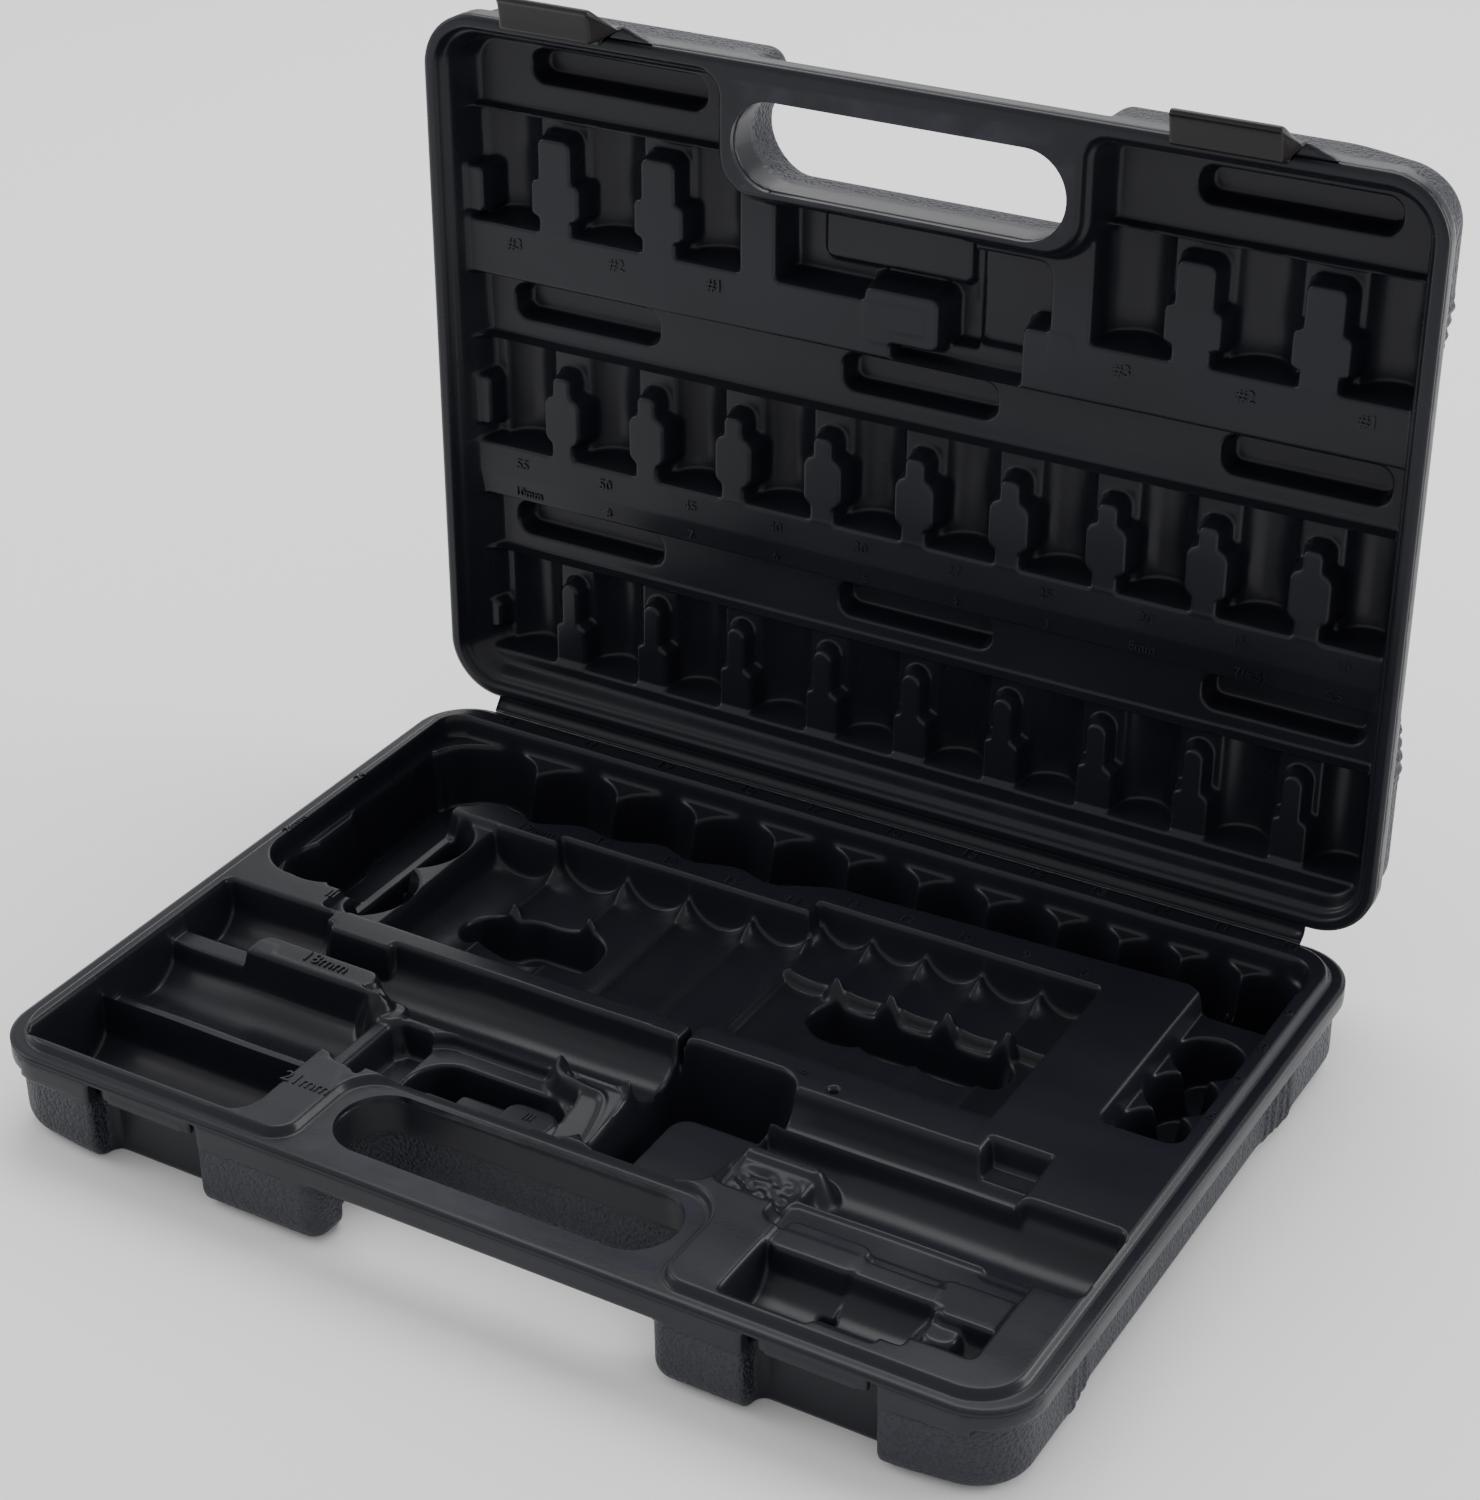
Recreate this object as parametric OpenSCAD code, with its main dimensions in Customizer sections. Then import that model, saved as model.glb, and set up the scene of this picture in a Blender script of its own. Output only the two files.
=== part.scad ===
// Blow-moulded carrying case for a 1/2 inch socket and bit set, standing open.
// The origin is the middle of the base's underside, X runs along the hinge, +Y points to the hinge.
// The lid's own frame has its rim at z = 0, its body below that, and y = 0 at the hinge.

/* [Case] */
// Width of the rim along the hinge
case_w = 390; // [380:1:400]
// Depth of the rim from the grip to the hinge
case_d = 277; // [274:1:284]
// Height of the base from its underside to the rim
base_h = 35.5; // [35:0.5:40]
// Height of the lid from its rim to its back
lid_h = 30; // [29:0.5:34]
// Radius of the case's upright corners
corner_r = 22; // [16:1:26]
// Radius of the edge round the underside and the lid's back
edge_r = 8; // [5:1:9]
// Thickness of the outer skins
wall = 2; // [1.6:0.1:2.4]
// Thickness of the moulded trays
skin = 1.8; // [1.4:0.1:2]
// Angle between the two halves as the case stands open
open_angle = 91.2; // [85:0.1:100]

/* [Rim] */
// Width of the flat flange at the two sides
flange_side = 6; // [5:0.5:7]
// Width of the flat flange at the front and the back
flange_end = 5; // [4:0.5:6]
// How far the base's tray stands above its flange
lip_h = 3; // [2:0.5:3.5]
// Gap between the two flanges when the case is shut
seam = 0.4; // [0.3:0.1:0.8]
// Height of the smooth band under the rim
band_h = 12; // [10:1:14]
// How far the walls below the band are set back
set_back = 1.5; // [1:0.5:2]

/* [Grip] */
// Length of the opening for the fingers
grip_l = 129; // [120:1:132]
// Width of the opening for the fingers
grip_open = 32.5; // [30:0.5:34]
// Thickness of the grip bar, front to back
grip_bar = 12.5; // [11:0.5:14]
// Height of each half of the grip bar
grip_h = 14; // [12:0.5:15]
// Left end of the hollow under the grip bar
grip_left = -54; // [-58:1:-50]
// Right end of the hollow under the grip bar
grip_right = 70; // [66:1:74]

/* [Latches] */
// Distance of each latch from the middle of the case
latch_x = 127; // [126:0.5:128]
// Width of a latch
latch_w = 38; // [34:1:40]
// Width of the bay that a latch folds into
bay_w = 46; // [44:1:48]
// Depth of that bay
bay_d = 11; // [10:0.5:12]
// Height of the ledge that the latch hooks under
ledge_h = 9; // [8:0.5:9]

/* [Hinge] */
// Distance of the fold line behind the rims
fold_y = 3.55; // [3.2:0.05:4]
// Height of the fold line above the base's rim
fold_z = 1.62; // [1.4:0.02:1.8]
// Thickness of the hinge film
film = 0.8; // [0.6:0.1:1]
// Length of the hinge film
film_l = 338; // [320:1:340]

/* [Nests] */
// Depth of the socket troughs below the base's rim
trough_d = 31; // [28:0.5:31]
// Depth of the ledge between the standing sockets
ledge_d = 5.5; // [4:0.5:7]
// Depth of the lid's deck behind its rim
lid_deck = 10; // [8:0.5:12]
// Spacing of the bit sockets in the lid
bit_pitch = 37.9; // [37:0.1:38]
// Radius of the nests for the bit sockets
bit_r = 12; // [11:0.5:12]

/* [Hidden] */
$fn = 48;
shell_color = [0.10, 0.10, 0.12];
tray_color = [0.13, 0.13, 0.15];
latch_color = [0.17, 0.16, 0.17];
eps = 0.01;
half_w = case_w / 2;
half_d = case_d / 2;
rim_z = base_h;
// The opening, the hollow and the bays as distances from the case's middle, to the front
grip_front = half_d - grip_bar;
grip_back = grip_front - grip_open;
lip_gap = 3.2;
lip_wrap = 5.5;
lip_r = corner_r - 5;
bay_mid = latch_x - 0.25;
ledge_w = 38;
ledge_back = 2;
// Clearance of the lid's recess round the base's lip
fit = 0.5;
// Latch profile, in the lid's frame: fold line, wedge, hook
latch_y = case_d + 4.5;
latch_z = 2;
bead_r = 0.6;
// Deep socket nests lie along Y with their axes at the rim
deep_r = [14.5, 14.5, 13.5, 13.5, 12, 10.5, 11, 11, 11.5, 10.5];
deep_x0 = -121.8;
ridge_d = 5;
strip_d = 18;
weld_d = 26;
bit_d = 25;
// Standing sockets along the hinge side
socket_pitch = [36.5, 37.4, 35.4, 34.5, 31.3, 29.4, 28.3, 28.4, 23.2, 23.8, 22.8, 23.3];
socket_x0 = -172.7;
trough_back = 122.5;
// Depth of the nests for the small sockets
small_d = 24;
// Gap between a tray and the skin that it stands in
room_gap = 0.25;

function sum(list, n, i = 0) = i >= n ? 0 : list[i] + sum(list, n, i + 1);
// Ends of the deep nests: the left five are nearer the front than the others
function deep_back(i) = i == 0 ? 61 : (i < 5 ? 66 : 74);
function deep_front(i) = i < 5 ? -14.7 : -5;

// ---- 2D outlines ----

module rounded(x0, y0, x1, y1, r) {
    translate([x0 + r, y0]) square([x1 - x0 - 2 * r, y1 - y0]);
    translate([x0, y0 + r]) square([x1 - x0, y1 - y0 - 2 * r]);
    for (x = [x0 + r, x1 - r], y = [y0 + r, y1 - r]) translate([x, y]) circle(r);
}

module outline(inset) {
    rounded(-half_w + inset, -half_d + inset, half_w - inset, half_d - inset, corner_r - inset);
}

// The finger opening, grown by g
module grip_hole(g = 0) {
    rounded(-grip_l / 2 - g, -grip_front - g, grip_l / 2 + g, -grip_back + g, grip_open / 2 + g - eps);
}

// The area inside the flange, which goes round the finger opening; g moves its edge outwards
module inside_flange(g = 0) {
    difference() {
        rounded(-half_w + flange_side - g, -half_d + flange_end - g,
                half_w - flange_side + g, half_d - flange_end + g, lip_r);
        rounded(-grip_l / 2 - lip_wrap + g, -half_d - 20, grip_l / 2 + lip_wrap - g,
                -grip_back + lip_gap - g, 14);
    }
}

// ---- 3D helpers: each nest is cut with g = 0 and walled with g = skin ----

// Upright well with rounded corners, floor at zf, open above
module well(x0, y0, x1, y1, r, zf, top, g) {
    translate([0, 0, zf - g]) linear_extrude(top - zf + g) rounded(x0 - g, y0 - g, x1 + g, y1 + g, r + g);
}

// Trough with a half-round bottom along X; its axis is at (y, z)
module trough_x(x0, x1, y, z, r, top, g) {
    translate([x0 - g, y, z]) rotate([0, 90, 0]) cylinder(h = x1 - x0 + 2 * g, r = r + g);
    translate([x0 - g, y - r - g, z]) cube([x1 - x0 + 2 * g, 2 * (r + g), top - z]);
}

// The same along Y; its axis is at (x, z)
module trough_y(x, y0, y1, z, r, top, g) {
    translate([x, y0 - g, z]) rotate([-90, 0, 0]) cylinder(h = y1 - y0 + 2 * g, r = r + g);
    translate([x - r - g, y0 - g, z]) cube([2 * (r + g), y1 - y0 + 2 * g, top - z]);
}

// Solid with rounded lower edges: the outer form of a half, from z = -h up to z = -top
module half_form(h, top, inset) {
    r = edge_r - inset;
    hull() {
        translate([0, 0, -h + inset]) linear_extrude(eps) outline(set_back + inset + r);
        translate([0, 0, -h + inset + 0.29 * r]) linear_extrude(eps) outline(set_back + inset + 0.29 * r);
        translate([0, 0, -h + inset + r]) linear_extrude(h - top - inset - r) outline(set_back + inset);
    }
}

// The hollow under the grip bar, grown by g
module grip_hollow(h, g) {
    translate([0, 0, -h - 1]) linear_extrude(h + 1 - grip_h + g)
        rounded(grip_left - g, -half_d - 20, grip_right + g, -grip_back + g, 10);
}

// One outer skin with its rim at z = 0, without what the lid or base adds
module skin_shell(h) {
    difference() {
        union() {
            difference() {
                union() {
                    half_form(h, skin + eps, 0);
                    translate([0, 0, -band_h]) linear_extrude(band_h - skin) outline(0);
                }
                half_form(h, skin - 1, wall);
                translate([0, 0, -band_h + wall]) linear_extrude(band_h) outline(wall);
            }
            intersection() {
                grip_hollow(h, wall);
                half_form(h, skin, 0);
            }
            translate([0, 0, -grip_h]) linear_extrude(grip_h - skin) intersection() {
                grip_hole(wall);
                outline(0);
            }
        }
        grip_hollow(h, 0);
        translate([0, 0, -h - 1]) linear_extrude(h + 2) grip_hole();
    }
}

// The room inside a skin, which a tray may fill
module room(h) {
    difference() {
        union() {
            translate([0, 0, -h + wall + room_gap]) linear_extrude(h) outline(set_back + wall + room_gap);
            translate([0, 0, -band_h + wall + room_gap]) linear_extrude(band_h - wall - skin)
                outline(wall + room_gap);
            translate([0, 0, -skin]) linear_extrude(skin + lip_h) outline(0);
        }
        grip_hollow(h, wall + room_gap);
        translate([0, 0, -grip_h - 1]) linear_extrude(grip_h + 1 - skin) grip_hole(wall + room_gap);
    }
}

// ---- Base ----

module base_bay(side, g) {
    x0 = side * bay_mid - bay_w / 2;
    translate([0, 0, -base_h - 1]) linear_extrude(base_h + 1 - skin + eps)
        rounded(x0 - g, -half_d - 20, x0 + bay_w + g, -half_d + bay_d + g, 3 + g);
}

module base_ledge(side) {
    x0 = side * bay_mid - ledge_w / 2;
    translate([x0, -half_d + ledge_back, -ledge_h]) cube([ledge_w, bay_d + 1 - ledge_back, ledge_h - skin]);
}

module base_shell() {
    color(shell_color) translate([0, 0, rim_z]) union() {
        difference() {
            union() {
                skin_shell(base_h);
                for (side = [-1, 1]) intersection() {
                    base_bay(side, wall);
                    union() {
                        half_form(base_h, skin, 0);
                        translate([0, 0, -band_h]) linear_extrude(band_h - skin) outline(0);
                    }
                }
            }
            for (side = [-1, 1]) base_bay(side, 0);
        }
        for (side = [-1, 1]) base_ledge(side);
    }
}

// Nests for the sockets that stand along the hinge side and down the left side
module standing_nests(g) {
    top = lip_h + 1;
    well(-184, 92.8, 182.4, 124.6, 12, -ledge_d, top, g);
    well(-184, -2.8, -140, 124.6, 14, -ledge_d, top, g);
    well(-176, 84, 16, 112, 8, -trough_d, top, g);
    well(0, 92.8, 180, 115, 8, -trough_d, top, g);
    for (i = [0 : len(socket_pitch) - 1]) {
        r = socket_pitch[i] * 0.55;
        x = socket_x0 + sum(socket_pitch, i) + socket_pitch[i] / 2;
        translate([0, 0, -trough_d - g]) translate([x, trough_back - r, 0])
            cylinder(h = trough_d + top + g, r = r + g);
    }
    for (y = [18.5, 60]) translate([-161, y, -trough_d - g]) cylinder(h = trough_d + top + g, r = 20 + g);
    well(-168, 20, -141, 100, 6, -trough_d, top, g);
    well(-144, -11, -121, 60, 8, -16, top, g);
}

// Nests for the small sockets at the right side
module side_nests(g) {
    top = lip_h + 1;
    well(155, 4.6, 182.4, 110, 5, -ledge_d, top, g);
    for (y = [19, 42, 65]) translate([167.8, y, -small_d - g]) cylinder(h = small_d + top + g, r = 11.8 + g);
    well(161, 12, 174.6, 72, 5, -small_d, top, g);
}

// Half-round nests for the deep sockets, with two finger wells across them
module deep_nests(g) {
    top = lip_h + 1;
    for (i = [0 : len(deep_r) - 1]) {
        x = deep_x0 + 2 * sum(deep_r, i) + deep_r[i];
        trough_y(x, deep_front(i), deep_back(i), 0, deep_r[i] - eps, top, g);
    }
    // The ridges between the nests stop short of the rim
    x0 = deep_x0;
    x1 = deep_x0 + 2 * sum(deep_r, len(deep_r));
    x_step = deep_x0 + 2 * sum(deep_r, 5);
    well(x0 + 1, deep_front(0) + 1, x_step, deep_back(0) - 1, 2, -ridge_d, top, g);
    well(x_step - 4, deep_front(9) + 1, x1 - 1, deep_back(0) - 1, 2, -ridge_d, top, g);
    well(x_step + 1, deep_back(0) - 8, x1 - 1, deep_back(9) - 1, 2, -ridge_d, top, g);
    well(-109, 9, -50, 38, 14, -trough_d, top, g);
    well(30, 22, 110, 44, 10.5, -trough_d, top, g);
}

// Nests for the spark plug sockets and the extension bar at the front left
module bar_nests(g) {
    top = lip_h + 1;
    trough_x(-184, -89.6, -107.5, -11.5, 16, top, g);
    trough_x(-184, -98.5, -69.5, 1, 17, top, g);
    well(-100, -86, -72, -56, 6, -20, top, g);
    trough_x(-184, -136, -33, -1, 15, top, g);
    trough_x(-140, 14, -33.5, -4, 9.5, top, g);
    well(-112, -50, 14, -30, 6, -10, top, g);
}

// Nests for the ratchet and, across it, the deep finger well
module ratchet_nests(g) {
    top = lip_h + 1;
    well(-68, -90, 18, -48, 18, -8, top, g);
    well(-62, -90, 8, -62, 16, -14, top, g);
    well(-56, -90, -26, -71, 8, -26, top, g);
    well(10.3, -90, 61, -21.6, 11, -trough_d, top, g);
}

// Nests for the sliding handle, the second bar and the universal joint at the right
module right_nests(g) {
    top = lip_h + 1;
    trough_x(55, 150, -38.5, -3, 9.5, top, g);
    well(129, -36, 150, -21.5, 2, -9, top, g);
    trough_x(55, 188 - skin, -67, -3, 13, top, g);
    well(151, -80, 188 - skin, -44, 4, -16, top, g);
    well(62, -87, 172, -70, 4, -8, top, g);
    trough_x(92, 128, -110, -1, 13.4, top, g);
    trough_x(120, 150, -111.5, 0, 12, top, g);
    trough_x(146, 171, -112.5, 0, 9.5, top, g);
}

module base_nests(g) {
    standing_nests(g);
    side_nests(g);
    deep_nests(g);
    bar_nests(g);
    ratchet_nests(g);
    right_nests(g);
}

module base_tray() {
    color(tray_color) translate([0, 0, rim_z]) difference() {
        union() {
            translate([0, 0, -skin]) linear_extrude(skin) difference() {
                outline(0);
                inside_flange(-skin);
            }
            translate([0, 0, -skin]) linear_extrude(skin + lip_h) difference() {
                inside_flange();
                inside_flange(-skin);
            }
            translate([0, 0, lip_h - skin]) linear_extrude(skin) inside_flange();
            intersection() {
                base_nests(skin);
                linear_extrude(2 * base_h, center = true) inside_flange();
                difference() {
                    room(base_h);
                    for (side = [-1, 1]) base_bay(side, wall + room_gap);
                }
            }
        }
        intersection() {
            base_nests(0);
            translate([0, 0, -base_h]) linear_extrude(2 * base_h) inside_flange(-skin);
        }
        translate([0, 0, -1 - skin]) linear_extrude(2 + skin) grip_hole();
    }
}

// ---- Lid, drawn in its own frame and then stood up about the fold line ----

module stand_lid() {
    translate([0, half_d + fold_y, rim_z + fold_z]) rotate([-open_angle, 0, 0])
        translate([0, -fold_y, -fold_z + seam]) rotate([180, 0, 0]) children();
}

// Turns a shape drawn in the base's plan into the lid's plan
module lid_plan() {
    translate([0, half_d, 0]) mirror([0, 1, 0]) children();
}

module latch_step(side) {
    w = latch_w + 4;
    translate([side * latch_x - w / 2, 0, 0]) rotate([90, 0, 90]) linear_extrude(w)
        polygon([[case_d - wall, -9.3], [case_d - 0.2, -9.3], [latch_y + 0.4, -1.2], [latch_y + 0.4, 0],
                 [latch_y + 0.4, latch_z - bead_r - 0.3], [latch_y - 0.4, latch_z - bead_r - 0.3],
                 [latch_y - 0.4, -0.2], [case_d - wall, -0.2]]);
}

module lid_shell() {
    color(shell_color) stand_lid() {
        lid_plan() skin_shell(lid_h);
        for (side = [-1, 1]) difference() {
            latch_step(side);
            translate([-half_w, -eps, -band_h]) cube([case_w, case_d, band_h + 1]);
        }
    }
}

// One row of bit nests from y0 to y1; the islands between them are narrower at their upper end
module bit_row(xs, y0, y1, depth, g) {
    top = 1;
    for (x = xs) {
        trough_y(x, y0, y1, -depth + bit_r, bit_r, top, g);
        well(x - 14.5, y1 - 20, x + 14.5, y1, 2, -depth + 6, top, g);
    }
    // A finger gap joins the nests above the islands
    well(xs[0], y1 - 11, xs[len(xs) - 1], y1, 2, -strip_d - 2, top, g);
}

// Shallow stadium-shaped welds between the tray and the outer skin
module weld_dents(g) {
    dent_l = 62;
    // The strips between the rows of nests lie lower than the bands with the sizes
    for (y = [70, 157]) well(-183, y, 183, y + 22, 4, -strip_d, 1, g);
    well(-183, 247, -74, 268, 4, -strip_d, 1, g);
    well(80, 247, 183, 268, 4, -strip_d, 1, g);
    for (p = [[-112, 259], [142, 259], [-130, 168], [9, 168], [154, 168], [-132, 78], [7, 78], [154, 78]])
        well(p[0] - dent_l / 2, p[1] - 5.5, p[0] + dent_l / 2, p[1] + 5.5, 5.4, -weld_d, 1, g);
}

module lid_nests(g) {
    bit_x = [for (i = [-4.5 : 1 : 4.5]) 6 + i * bit_pitch];
    bit_row(bit_x, 22, 68, bit_d, g);
    bit_row(bit_x, 110, 155, bit_d, g);
    bit_row([-164, -120, -76], 200, 244, bit_d, g);
    bit_row([89, 133, 174], 200, 244, bit_d, g);
    weld_dents(g);
    // Pocket below the grip for the adaptor and the bit holder
    well(-46, 198, 26, 226, 3, -23, 1, g);
    well(28, 188, 52, 224, 3, -24, 1, g);
}

module lid_tray() {
    color(tray_color) stand_lid() difference() {
        union() {
            translate([0, 0, -skin]) linear_extrude(skin) difference() {
                lid_plan() outline(0);
                lid_plan() inside_flange(fit);
            }
            intersection() {
                union() {
                    translate([0, 0, -lid_deck - skin]) linear_extrude(lid_deck) difference() {
                        lid_plan() inside_flange(fit + skin);
                        lid_plan() inside_flange(fit);
                    }
                    translate([0, 0, -lid_deck - skin]) linear_extrude(skin) lid_plan() inside_flange(fit + eps);
                    intersection() {
                        lid_nests(skin);
                        translate([0, 0, -lid_h]) linear_extrude(lid_h - lid_deck) lid_plan() inside_flange(-0.5);
                    }
                }
                lid_plan() room(lid_h);
            }
        }
        intersection() {
            lid_nests(0);
            translate([0, 0, -lid_h]) linear_extrude(2 * lid_h) lid_plan() inside_flange(-skin - 0.5);
        }
        translate([0, 0, -lid_h]) linear_extrude(2 * lid_h) lid_plan() grip_hole();
    }
}

// ---- Hinge film: two leaves that meet at the fold line ----

module hinge_film_base() {
    color(shell_color) translate([-film_l / 2, 0, 0]) rotate([90, 0, 90]) linear_extrude(film_l)
        polygon([[half_d, rim_z - skin - film], [half_d + fold_y - 0.5, rim_z + fold_z - 1.1 - film],
                 [half_d + fold_y + 0.2, rim_z + fold_z - 1.0], [half_d + fold_y - 0.4, rim_z + fold_z - 1.0],
                 [half_d, rim_z - skin]]);
}

module hinge_film_lid() {
    color(shell_color) {
        stand_lid() translate([-film_l / 2, 0, 0]) rotate([90, 0, 90]) linear_extrude(film_l)
            polygon([[0, -skin], [-fold_y, -fold_z + seam + 0.3], [-fold_y, -fold_z + seam - 0.5],
                     [0, -skin - film]]);
        translate([-film_l / 2, half_d + fold_y, rim_z + fold_z]) rotate([0, 90, 0])
            cylinder(h = film_l, r = 0.6);
    }
}

// ---- Latches: wedges on a film at the lid's free edge, with a hook on the inner face ----

module latch(side) {
    color(latch_color) stand_lid() {
        translate([side * latch_x - latch_w / 2, 0, 0]) rotate([90, 0, 90]) linear_extrude(latch_w)
            polygon([[latch_y - 0.4, latch_z + 0.3], [latch_y + 0.5, latch_z + 0.3], [latch_y + 2, latch_z + 3.3],
                     [latch_y + 11.6, latch_z + 18.6], [latch_y + 12.2, latch_z + 20],
                     [latch_y + 11.6, latch_z + 21.2], [latch_y + 10.4, latch_z + 21.3],
                     [latch_y + 0.4, latch_z + 19.4], [latch_y - 0.45, latch_z + 18.6],
                     [latch_y - 0.45, latch_z + 13.6], [latch_y - 2.5, latch_z + 13.2],
                     [latch_y - 2.5, latch_z + 11.6], [latch_y - 0.45, latch_z + 10.6]]);
        translate([side * latch_x - latch_w / 2, latch_y, latch_z]) rotate([0, 90, 0])
            cylinder(h = latch_w, r = bead_r);
    }
}

module latch_left() {
    latch(-1);
}

module latch_right() {
    latch(1);
}

base_shell();
base_tray();
lid_shell();
lid_tray();
hinge_film_base();
hinge_film_lid();
latch_left();
latch_right();
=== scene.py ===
"""Looks of the socket set case: two blow-moulded halves, a living hinge and two latches.

Shapes are worked out in millimetres. A half's plan is (x, y), with its rim at z = 0 and its body below.
The lid's tray uses (u, v), where v is the distance from the hinge side.
"""
import math

import bpy
import numpy as np
from mathutils import Matrix, Vector


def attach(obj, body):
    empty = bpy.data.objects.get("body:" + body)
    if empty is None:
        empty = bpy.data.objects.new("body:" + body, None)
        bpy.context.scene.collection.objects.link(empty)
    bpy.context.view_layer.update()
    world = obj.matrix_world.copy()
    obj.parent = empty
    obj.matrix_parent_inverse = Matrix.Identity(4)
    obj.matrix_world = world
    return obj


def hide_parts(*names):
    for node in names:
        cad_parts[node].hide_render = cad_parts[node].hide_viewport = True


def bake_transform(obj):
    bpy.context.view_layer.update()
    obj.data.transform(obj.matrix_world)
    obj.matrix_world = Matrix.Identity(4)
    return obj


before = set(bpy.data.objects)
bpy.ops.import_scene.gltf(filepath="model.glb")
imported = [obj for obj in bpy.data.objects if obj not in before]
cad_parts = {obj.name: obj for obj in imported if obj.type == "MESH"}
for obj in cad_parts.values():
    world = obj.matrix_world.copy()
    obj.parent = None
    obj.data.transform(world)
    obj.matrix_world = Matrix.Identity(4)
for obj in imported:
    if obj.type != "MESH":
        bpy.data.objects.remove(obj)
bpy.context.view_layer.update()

MM = 0.001
HALF_W, HALF_D, CORNER = 195.0, 138.5, 22.0  # the plan of a half's rim
BASE_H, LID_H = 35.5, 30.0                   # from the rim to the outer face
FOLD_Y, FOLD_Z = 3.55, 1.62                  # the fold line, behind and above the base's rim
SEAM = 0.4                                   # the gap between the rims of the closed case
OPEN = math.radians(91.2)                    # the lid's angle from closed, as it stands in the photo
LATCH_X, LATCH_W = 127.0, 38.0
BAY_X = 126.75                               # the middle of a latch's recess in the base's front
WEDGE_Y = -143.4                             # the front of the lid's wedges under the latches
DECK = 3.0                                   # the base's deck and lip stand this far above its rim
RECESS = -3.6                                # the lid's flange dips to this level inside its rim
WALL = 1.2                                   # thickness of a tray's wall
FLANGE_UNDER = -1.8                          # the underside of a tray's flange
SKIN_TOP = -1.81                             # an outer skin ends just below it
SKIN, SKIN_FLOOR = 3.2, 2.0                  # thickness of an outer skin's sides and floor
TRAY_CELL = 0.5            # grid of a tray's top
UNDER_CELL = 2.5                             # grid of its underside
SHELL_CELL = 1.3           # grid of an outer skin
MOST_TRIANGLES = 190000                      # in one piece
SHARP = math.radians(76)                     # edges that turn more than this are shaded sharp


# ---- 2D distances, negative inside ----

def box(x, y, x0, y0, x1, y1, r=1.0):
    qx = np.abs(x - (x0 + x1) / 2) - (x1 - x0) / 2 + r
    qy = np.abs(y - (y0 + y1) / 2) - (y1 - y0) / 2 + r
    return np.hypot(np.maximum(qx, 0), np.maximum(qy, 0)) + np.minimum(np.maximum(qx, qy), 0) - r


def disc(x, y, cx, cy, r):
    return np.hypot(x - cx, y - cy) - r


def segment(x, y, ax, ay, bx, by, r):
    t = np.clip(((x - ax) * (bx - ax) + (y - ay) * (by - ay)) / ((bx - ax) ** 2 + (by - ay) ** 2), 0, 1)
    return np.hypot(x - ax - t * (bx - ax), y - ay - t * (by - ay)) - r


def smin(a, b, k):
    """The lower of two, blended where they are within k of each other."""
    h = np.maximum(k - np.abs(a - b), 0) / k
    return np.minimum(a, b) - h * h * k / 4


def smax(a, b, k):
    return -smin(-a, -b, k)


def rmax(a, b, r):
    """Intersection whose corner has radius r."""
    return np.minimum(-r, np.maximum(a, b)) + np.hypot(np.maximum(a + r, 0), np.maximum(b + r, 0))


def rmin(a, b, r):
    return -rmax(-a, -b, r)


def step(a, b, t):
    """A smooth step from 0 at a to 1 at b."""
    t = np.clip((t - a) / (b - a), 0, 1)
    return t * t * (3 - 2 * t)


def outline(x, y):
    return box(x, y, -HALF_W, -HALF_D, HALF_W, HALF_D, CORNER)


def grip_hole(x, y):
    """The opening behind the grip."""
    return box(x, y, -64.5, -126, 64.5, -93.5, 16.2)


def wander(x, y, seed, size, amount):
    """A smooth random field, the slight waviness of blown plastic."""
    rng = np.random.default_rng(seed)
    total = np.zeros_like(x)
    for _ in range(9):
        a, p = rng.uniform(0, 2 * math.pi, 2)
        k = 2 * math.pi / (size * rng.uniform(0.6, 1.8))
        total = total + np.sin(k * (x * math.cos(a) + y * math.sin(a)) + p)
    return total * amount / 3


# ---- height field helpers: z is up, a nest is cut and a block is raised ----

def cut(z, d, floor, top=DECK, slope=9.0, fillet=3.0, edge=0.6):
    """Cuts a nest with drafted walls. d is the distance to its edge at height top."""
    return smin(z, smax(floor, top + slope * d, fillet), edge)


def raise_(z, d, top, slope=9.0, edge=0.6):
    """Raises a block with drafted walls. d is the distance to its edge at height top."""
    return smax(z, np.minimum(top, top - slope * d), edge)


def draft(d, slope=9.0):
    """Height of a nest's wall that meets the deck at d = 0."""
    return DECK + slope * d


def half_round(t, centre, axis, r):
    """Height of a half-round floor across t; axis is the height of its centre line."""
    return axis - np.sqrt(np.maximum(r * r - (t - centre) ** 2, 0))


def sink(z, floor, wall, fillet=4.0, edge=0.7):
    """Cuts a nest with a shaped floor between walls."""
    return smin(z, smax(floor, wall, fillet), edge)


def blur(z, sigma, h):
    """Rounds every edge a little; the plan's border keeps its height."""
    n = int(math.ceil(3 * sigma / h))
    k = np.exp(-0.5 * (np.arange(-n, n + 1) * h / sigma) ** 2)
    k /= k.sum()
    for axis in (0, 1):
        pad = [(0, 0), (0, 0)]
        pad[axis] = (n, n)
        p = np.pad(z, pad, mode="edge")
        z = sum(w * np.take(p, np.arange(i, i + z.shape[axis]), axis) for i, w in enumerate(k))
    return z


# ---- the base's tray ----

BACK_PITCH = [36.5, 37.4, 35.4, 34.5, 31.3, 29.4, 28.3, 28.4, 23.2, 23.8, 22.8, 23.3]
DEEP_X = [-120.5, -93, -63.8, -37.1, -9.9, 14.3, 35, 56.6, 78.8, 102, 123.2]


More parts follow.
